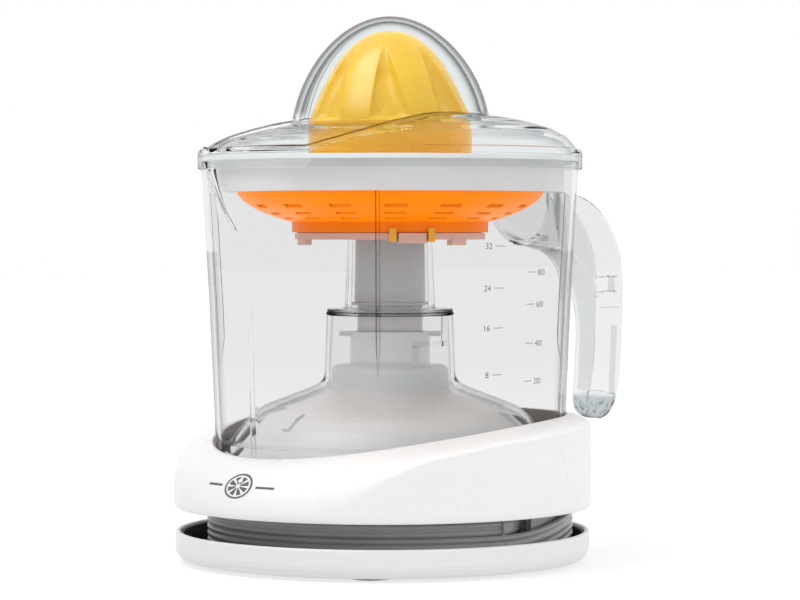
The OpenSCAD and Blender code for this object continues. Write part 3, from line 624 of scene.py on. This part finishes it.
def emblem():
    """A slice of citrus between two short bars, printed on the front of the housing."""
    side, height = math.radians(-85), 34.6
    wide, tall = 1.45, 0.92            # it is drawn broad, since the wall turns and leans away
    slices = 8
    flats = [flat_ring((0, 0), 5.0, 4.3)]
    for i in range(slices):
        flats.append(flat_ring((0, 0), 3.7, 0.8, 8, TURN * i / slices + 0.13, TURN / slices - 0.26))
    flats += [flat_box(-12.6, -6.4, -0.45, 0.45), flat_box(6.4, 12.6, -0.45, 0.45)]
    return [(wrapped([(x * wide, height + y * tall) for x, y in points], side, housing_face), faces)
            for points, faces in flats]


piece("front_emblem", emblem(), "base", PRINT)


# ---------------------------------------------------------------- pitcher

FOOT_Z = low("pitcher").z
RIM_Z = high("pitcher").z
WALL = 2.1
SPOUT_WALL = 1.9
WALL_R = [(FOOT_Z, 70.2), (48, 70.6), (105, 73.1), (129, 74.5), (155, 75.9), (RIM_Z, 76.2)]
SPOUT_R = -low("pitcher").y
SPOUT_LOW = 127
SPOUT_TOP = 157


def blended(a, b, width):
    """The larger of two lengths, with a soft crease where they meet."""
    h = max(width - abs(a - b), 0) / width
    return max(a, b) + h * h * width / 4


def spout_at(angle, z, inset):
    """How far the spout reaches in a direction at a height: a blunt beak that opens upwards."""
    off = from_spout(angle)
    foot = SPOUT_LOW + 1.2 * inset
    grown = max((z - foot) / (SPOUT_TOP - foot), 0) ** 0.5
    across = off / max((25 - 1.3 * inset) * grown, 1e-3)
    if across >= 1:
        return 0
    root = 72.2 - inset
    return root + (SPOUT_R - inset - root) * min(grown, 1.05) * (1 - across ** 2.2)


def pitcher_face(angle, z, inset=0.0):
    """Radius of the pitcher's outside, or of its inside when there is an inset for the spout."""
    wall = lookup(z, WALL_R) - (WALL if inset else 0)
    return blended(wall, spout_at(angle, z, inset), 2.4)


# The floor over the motor's dome, the tower and the sleeve, from the inside of the wall to its foot
PITCHER_FLOOR = rounded(
    [(68.4, 49.5), (67.6, 47.2), (64.9, 48.6), (57.2, 57.6), (51.4, 62.3), (29.6, 70.5), (26.5, 73.4),
     (25.5, 101.5), (18.3, 101.5), (17.1, 129), (16.9, 138), (15, 138), (15.9, 101.9), (15.9, 100.4),
     (13.7, 100.4), (13.7, 99.1), (23.6, 99.1), (24.9, 70.6), (28.9, 68.6), (50.6, 60.4), (55.7, 56),
     (63.4, 46), (66, 42.6), (67.9, FOOT_Z + 0.3), (68.3, FOOT_Z + 0.3)],
    [0, 1.5, 2, 3, 3, 4, 3, 0.8, 1.2, 0, 0.5, 0.5, 0, 0.3, 0.3, 0.3, 0.6, 3, 4, 3, 3, 2, 1, 0.6, 0])


def pitcher_section(angle):
    """Outline of the pitcher's wall in one direction, with its rim and foot."""
    off = from_spout(angle)
    top = SPOUT_TOP + (RIM_Z - SPOUT_TOP) * smooth(23, 26.5, off)
    heights = [FOOT_Z + 0.6, 44, 48, 62, 76, 90, 105, 117]
    steps = 40
    heights += [122 + (top - 0.7 - 122) * (i / steps) ** 1.5 for i in range(steps + 1)]
    outer = [(pitcher_face(angle, z), z) for z in heights]
    inner = [(pitcher_face(angle, z, SPOUT_WALL), z) for z in reversed(heights)]
    outer_top, inner_top = outer[-1][0], inner[0][0]
    lip = rounded([(outer_top, top - 0.7), (outer_top, top), (inner_top, top), (inner_top, top - 0.7)],
                  [0, 0.6, 0.6, 0])
    foot = rounded([inner[-1], (inner[-1][0], FOOT_Z), (outer[0][0], FOOT_Z), outer[0]], [0, 0.4, 0.5, 0], 3)
    return outer + lip[1:-1] + inner + foot[1:-1]


def upright_rib(degrees):
    """A thin rib inside the wall, with a round nose and a tapering foot. The collar rests on it."""
    top, foot, steps = 148.2, 77, 24
    rings = []
    for i in range(steps + 1):
        z = foot + (top - foot) * i / steps
        grown = smooth(foot - 3, foot + 14, z)
        half = 0.85 * grown
        wall = lookup(z, WALL_R) - WALL + 0.3
        nose = wall - 0.4 - 2.7 * grown
        ring = [(wall, half)]
        for k in range(13):
            a = math.pi * k / 12
            ring.append((nose + half - half * math.sin(a), half * math.cos(a)))
        ring.append((wall, -half))
        rings.append([polar(r, degrees, z) + polar(x, degrees + 90) for r, x in ring])
    return swept(rings)


# The hooked rib inside the tower's sleeve, in three lengths
HOOK_RADII = (22.2, 24.3)
HOOK_RIBS = [arc_block((-18, 29), HOOK_RADII, (86.5, 88.5)), arc_block((-18, -13), HOOK_RADII, (81, 87)),
             arc_block((25, 30), HOOK_RADII, (86.5, 99.2))]

# The bead round the sleeve's upper edge
BEAD_R = 0.75
TOWER_BEAD = [(25.2 + BEAD_R * math.cos(TURN * k / 16), 99.5 + BEAD_R * math.sin(TURN * k / 16))
              for k in range(16)]

piece("pitcher_wall", [turned(pitcher_section, 600)], "pitcher", CLEAR, ["pitcher"],
      sharp=24)
piece("pitcher_tower", [turned(lambda angle: PITCHER_FLOOR)] + HOOK_RIBS, "pitcher", INNER_CLEAR,
      sharp=24)
piece("pitcher_ribs",
      [upright_rib(a) for a in (45, 135, 225, 315)] + [turned(lambda angle: TOWER_BEAD, 240)],
      "pitcher", RIB_CLEAR, sharp=40)


# ---------------------------------------------------------------- handle

REACH = high("pitcher_handle").y
HALF = high("pitcher_handle").x        # half the width of the cup at the wall
STRAP_HALF = 9
CHANNEL_WALL = 2.1
CUP_WALL_R = 75                        # radius of the pitcher's wall where the cup meets it
ROOT_OUT = 92                          # the cup at the wall ends and the strap begins at this y
# Lines down the strap's outer and inner side, as (y, z) points
HANDLE_OUT = resampled(
    cubic((ROOT_OUT, 149), (110, 147.5), (REACH, 134), (REACH, 110), 16) + [(REACH - 0.3, 86)]
    + cubic((REACH - 1, 76), (REACH - 3, 61), (REACH - 5.5, 52.4), (REACH - 9, 52.1)), 64)
HANDLE_IN = resampled(
    cubic((ROOT_OUT, 124.4), (103, 121), (112.6, 108), (114, 92), 16) + [(114, 84)]
    + cubic((112.6, 66), (111.2, 58.5), (112.4, 52.4), (REACH - 9.2, 52.1)), 64)


def channel_ring(half, depth, corner, wall, floor):
    """Outline of a U-shaped channel: (across, depth) points round its outside, then back round its inside.
    floor is how far the channel's bottom lies above the outside."""
    def side(h, bottom, r, end):
        arc = [(-h + r - r * math.cos(math.radians(a)), bottom + r - r * math.sin(math.radians(a)))
               for a in range(0, 91, 10)]
        return [(-h, end)] + arc + [(-x, s) for x, s in reversed(arc)] + [(h, end)]

    lip = 0.35
    outside = side(half, 0, corner, depth - lip)
    inside = side(half - wall, floor, max(corner - wall, 0.6), depth - 0.3)
    right_lip = [(half - lip, depth), (half - wall + lip, depth)]
    left_lip = [(-half + wall - lip, depth), (-half + lip, depth)]
    return outside + right_lip + list(reversed(inside)) + left_lip


# Short ribs on the channel's near side: from and to across it, along y and up z
HANDLE_RIBS = [(6.4, 7.2, 114.2, REACH - 0.9, 99.6, 100.2), (3.8, 7.2, 118.6, 123.6, 106.4, 107.2),
               (3.8, 7.2, 118.6, 123.6, 112.8, 113.6), (3.8, 7.2, 121.4, 122.1, 106.8, 113.2),
               (4.4, 7.2, 113.6, 115.8, 106.4, 107.0), (4.4, 7.2, 113.2, 115.4, 112.8, 113.4)]


def handle():
    """The cup at the wall, the strap that narrows to a solid tip, and the ribs inside it."""
    rings = []
    root_steps = 12
    for i in range(root_steps):
        t = i / root_steps
        ease = smooth(0, 1, t)
        half = HALF + (STRAP_HALF - HALF) * ease
        corner = HALF - 0.1 + (2.2 - HALF) * ease
        bottom, top = 126.6 + (124.4 - 126.6) * t, 151.5 + (149 - 151.5) * ease
        ring = []
        for x, s in channel_ring(half, top - bottom, corner, CHANNEL_WALL, CHANNEL_WALL):
            at_wall = math.sqrt(CUP_WALL_R ** 2 - x * x) - 0.5
            ring.append((x, at_wall + (ROOT_OUT - at_wall) * t, bottom + s))
        rings.append(ring)
    for i, (inner, outer) in enumerate(zip(HANDLE_IN, HANDLE_OUT)):
        u = i / (len(HANDLE_IN) - 1)
        depth = max(math.dist(inner, outer), 0.8)
        step = ((outer[0] - inner[0]) / depth, (outer[1] - inner[1]) / depth)
        half = STRAP_HALF * math.sqrt(max(1 - smooth(0.86, 1.04, u) ** 2, 0.05))
        floor = CHANNEL_WALL + (depth - 2.6) * smooth(0.84, 0.9, u)
        ring = channel_ring(half, depth, 2.1, 2.0, min(floor, depth - 0.4))
        rings.append([(x, inner[0] + step[0] * s, inner[1] + step[1] * s) for x, s in ring])
    parts = [swept(rings)]
    for x0, x1, y0, y1, z0, z1 in HANDLE_RIBS:
        corners = rounded([(y0, z0), (y1, z0), (y1, z1), (y0, z1)], 0.3, 3, closed=True)
        parts.append(swept([[(x, y, z) for y, z in corners] for x in (x0, x1)]))
    bar = rounded([(120.4, 62.5), (121.9, 62.5), (123.6, 92), (122, 92)], 0.4, 3, closed=True)
    parts.append(swept([[(x, y, z) for y, z in bar] for x in (5.2, 7.2)]))
    return parts


piece("handle_channel", handle(), "pitcher", HANDLE_CLEAR, ["pitcher_handle"], sharp=34)


# ---------------------------------------------------------------- printed scale

def text_mesh(words, size):
    """The outlines of a line of text, as flat points centred on its height, and faces."""
    curve = bpy.data.curves.new("words", "FONT")
    curve.body = words
    curve.size = size
    curve.resolution_u = 4
    holder = bpy.data.objects.new("words", curve)
    bpy.context.scene.collection.objects.link(holder)
    bpy.context.view_layer.update()
    mesh = bpy.data.meshes.new_from_object(holder.evaluated_get(bpy.context.evaluated_depsgraph_get()))
    points = [(v.co.x, v.co.y - 0.36 * size) for v in mesh.vertices]
    faces = [list(p.vertices) for p in mesh.polygons]
    bpy.data.objects.remove(holder)
    bpy.data.curves.remove(curve)
    bpy.data.meshes.remove(mesh)
    return points, faces


def scale_marks():
    """Millilitres on one side and fluid ounces on the other: numbers with a short line for each."""
    parts = []
    # Each column's direction in degrees, its marks as (words, height), and on which side the numbers stand
    columns = [
        (9.0, [("200", 74.4), ("400", 89.2), ("600", 104.4), ("800", 116.9), ("1000", 130.1)], 1),
        (-8.5, [("8", 77.4), ("16", 95.5), ("24", 110.9), ("32", 127.1)], -1),
    ]

    def outside(angle, z):
        return pitcher_face(angle, z) + 0.05

    for degrees, marks, sign in columns:
        side = math.radians(degrees)
        for words, z in marks:
            points, faces = text_mesh(words, 3.3)
            wide = max(x for x, _ in points)
            shift = 1.2 if sign > 0 else -1.2 - wide
            parts.append((wrapped([(x + shift, y + z) for x, y in points], side, outside), faces))
            from_x, to_x = (-4.6, 0) if sign > 0 else (0.4, 5.0)
            points, faces = flat_box(from_x, to_x, z - 0.12, z + 0.12)
            parts.append((wrapped(points, side, outside), faces))
    return parts


piece("printed_scale", scale_marks(), "pitcher", PRINT)


# ---------------------------------------------------------------- lid

LID_R = high("lid").x
LID_TOP = high("lid").z
LID_LOW = low("lid").z
LID_WALL = 2.0
# Height of the flange by its radius, and how much higher its raised part is
FLANGE = [(39.6, 175.6), (41, 175.3), (50, 173.6), (59, 171.4), (66, 169.4), (71.6, 167.2), (74, 166.0),
          (75.4, 165.6)]
RAISED = [(39, 3.9), (48.6, 4.4), (56, 4.6), (65, 4.4), (71.4, 3.4), (74.3, 1.6), (75.4, 0)]
# Where the raised part's edge runs, as its radius by degrees from the spout
CREST = [(0, 90), (18, 80), (24, 74), (32, 68), (40, 60), (50, 50), (62, 42), (80, 34), (180, 30)]


def flange_top(angle, r):
    """Height of the lid's flange: low at the spout, and raised in a sweep round to the handle."""
    off = from_spout(angle)
    edge = smooth(-0.8, 0.8, r - lookup(off, CREST))
    return lookup(r, FLANGE) + lookup(r, RAISED) * smooth(8, 90, off) * edge


def lid_section(angle):
    """Outline of the lid in one direction, from the dome's top down to the skirt and back inside it."""
    radii = [75.2, 74.6, 73.6, 72.4, 71, 69.4, 67.6] + [66 - 0.75 * i for i in range(34)]
    top = [(r, flange_top(angle, r)) for r in radii]
    base = flange_top(angle, 40.6)
    dome = cubic((39.7, base + 1.2), (36, 200), (19, LID_TOP), (0, LID_TOP), 40)
    inside_top = LID_TOP - LID_WALL
    under_dome = cubic((0, inside_top), (17.7, inside_top), (34, 198.4), (37.5, base - 1), 40)
    under = [(r - 1.2, flange_top(angle, r) - LID_WALL) for r in reversed(radii)][1:]
    skirt = rounded([(LID_R - 3.6, 163.2), (LID_R - 1.2, 163.0), (LID_R - 1.2, LID_LOW), (LID_R, LID_LOW),
                     (LID_R, 164.4), (LID_R - 0.6, 165.4)], [0.6, 0.5, 0.5, 0.5, 0.5, 0])
    outline = list(reversed(dome)) + [(40.4, base + 0.3)] + list(reversed(top[:-1]))
    return outline + list(reversed(skirt)) + list(reversed(under)) + list(reversed(under_dome))


def crest_line(side):
    """The moulded fold along the crest, from near the spout round to the side, drawn as a thin line in
    brownish painted shade.
    """
    rings = []
    for i in range(73):
        off = 8 + 1.5 * i
        angle = math.radians(-90 + side * off)
        out_to = lookup(off, CREST)
        height = flange_top(angle, out_to + 0.6) - 0.1
        thin = 0.34 * smooth(7, 22, off) * smooth(117, 100, off) + 0.05
        ring = []
        for k in range(8):
            r = out_to + thin * math.cos(TURN * k / 8)
            ring.append((r * math.cos(angle), r * math.sin(angle), height + thin * math.sin(TURN * k / 8)))
        rings.append(ring)
    return swept(rings)


piece("lid_shell", [turned(lid_section, 480, ring=False)], "lid", LID_CLEAR, ["lid"], sharp=38)
piece("lid_crest_line", [crest_line(1), crest_line(-1)], "lid", CREST_SHADE)


# ---------------------------------------------------------------- large reamer

CONE_R = high("large_reamer").x - 0.9
CONE_TOP = high("large_reamer").z
CONE_LOW = low("large_reamer").z
CONE = resampled(
    cubic((0, CONE_TOP), (10.5, CONE_TOP), (19.5, 206), (26.6, 191.7), 14)
    + cubic((26.6, 191.7), (29.6, 185.6), (32.2, 180), (CONE_R - 0.4, 176.6), 8)[1:], 60)
CONE_SKIRT = rounded([(CONE_R, 176.4), (CONE_R, CONE_LOW), (CONE_R - 2.2, CONE_LOW)], [0.5, 0.6, 0.6])
CONE_INSIDE = rounded([(CONE_R - 2.2, 174), (29.4, 179), (24.9, 187), (19.2, 196), (11, 206), (0, 211.2)], 3)
FLUTES = 7
FLUTE_START = 0.36                     # place of the first flute, in distances between two flutes
FLUTE_DEPTH = 3.6
FLUTE_TOP = CONE_TOP - 7
FLUTE_FOOT = 177


def cone_section(angle):
    """Outline of the hollow reamer in one direction, with leaf-shaped flutes pressed into its outside."""
    place = (angle / TURN * FLUTES + FLUTE_START) % 1
    outside = []
    for r, z in CONE:
        down = min(max((FLUTE_TOP - z) / (FLUTE_TOP - FLUTE_FOOT), 0), 1)
        half = 0.29 * down ** 0.5
        across = (place - 0.5 - 0.14 * (down - 0.5)) / max(half, 1e-3)
        leaf = max(0, 1 - across * across) ** 0.7 * min(1, 2.5 * down)
        leaf *= smooth(FLUTE_FOOT - 0.5, FLUTE_FOOT + 2, z)
        outside.append((max(r - FLUTE_DEPTH * leaf, 0), z))
    return outside + CONE_SKIRT + CONE_INSIDE


piece("large_reamer_cone", [turned(cone_section, 504, ring=False)], "large_cone", YELLOW,
      ["large_reamer"], sharp=40)


# ---------------------------------------------------------------- room

def softbox(name, place, aim, size, power):
    """A rectangular lamp that lights surfaces without showing in clear or glossy ones."""
    lamp = bpy.data.lights.new(name, "AREA")
    lamp.shape = "RECTANGLE"
    lamp.size, lamp.size_y = size
    lamp.energy = power
    holder = bpy.data.objects.new(name, lamp)
    bpy.context.scene.collection.objects.link(holder)
    holder.location = place
    holder.rotation_euler = (Vector(aim) - Vector(place)).to_track_quat("-Z", "Y").to_euler()
    holder.visible_glossy = False
    holder.visible_transmission = False


FRONT_GLOW = 0.75                      # brightness of the studio in front, overhead and on the left
OVERHEAD_GLOW = 0.9
SHADE_GLOW = 0.5
WINDOW_GLOW = 4.0
FLOOR_GLOW = 0.60
KEY_PLACE = out * 0.9 + right * 0.7 + Vector((0, 0, 0.8))
WINDOW_SIDE = out * 0.2 - right * 0.5 + Vector((0, 0, 0.9))


def studio_walls():
    """White walls, darker in front, on the left and overhead, with a bright soft window up on the left."""
    world = bpy.data.worlds.new("studio")
    bpy.context.scene.world = world
    world.use_nodes = True
    tree = world.node_tree
    tree.nodes.clear()
    place = add(tree, "ShaderNodeTexCoord").outputs["Generated"]

    def towards(direction):
        """1 where the wall lies in that direction, 0 across from it, and -1 behind."""
        node = add(tree, "ShaderNodeVectorMath", {"operation": "DOT_PRODUCT"})
        tree.links.new(place, node.inputs[0])
        node.inputs[1].default_value = direction
        return node.outputs["Value"]

    front = spread(tree, towards(out), 1.0, FRONT_GLOW, -0.3, 0.8)
    shade = spread(tree, towards(-right), 1.0, SHADE_GLOW, 0.3, 0.9)
    overhead = spread(tree, towards(Vector((0, 0, 1))), 1.0, OVERHEAD_GLOW, 0.15, 0.8)
    glow = calculate(tree, "MULTIPLY", calculate(tree, "MULTIPLY", front, shade), overhead)
    window = spread(tree, towards(WINDOW_SIDE.normalized()), 0.0, WINDOW_GLOW, 0.91, 0.97)
    lit = add(tree, "ShaderNodeBackground", Color=(1, 1, 1, 1),
              Strength=calculate(tree, "ADD", glow, window))
    seen = add(tree, "ShaderNodeBackground", Color=(1, 1, 1, 1), Strength=1.0)
    direct = add(tree, "ShaderNodeLightPath").outputs["Is Camera Ray"]
    mix = add(tree, "ShaderNodeMixShader", Fac=direct)
    tree.links.new(lit.outputs["Background"], mix.inputs[1])
    tree.links.new(seen.outputs["Background"], mix.inputs[2])
    output = add(tree, "ShaderNodeOutputWorld")
    tree.links.new(mix.outputs["Shader"], output.inputs["Surface"])


def room():
    """A plain pale floor in soft studio light."""
    studio_walls()
    bpy.context.scene.view_settings.view_transform = "Standard"
    bpy.ops.mesh.primitive_plane_add(size=12, location=(0, 0, 0))
    floor = bpy.context.object
    floor.name = "floor"
    pale = moulded("floor_white", (0.30, 0.30, 0.30), 0.7, grain=0.02, mottle=0.004)
    plastic = next(node for node in pale.node_tree.nodes if node.type == "BSDF_PRINCIPLED")
    plastic.inputs["Emission Color"].default_value = (1, 1, 1, 1)
    plastic.inputs["Emission Strength"].default_value = FLOOR_GLOW
    floor.data.materials.append(pale)
    softbox("key", KEY_PLACE, (0, 0, 0.11), (0.9, 0.9), 4.2)
    softbox("top", Vector((0, 0, 1.4)), (0, 0, 0), (1.4, 1.4), 3.0)
    softbox("back", Vector((0, 0, 1.0)) - out * 0.9, (0, 0, 0.12), (1.4, 0.7), 2.5)


room()
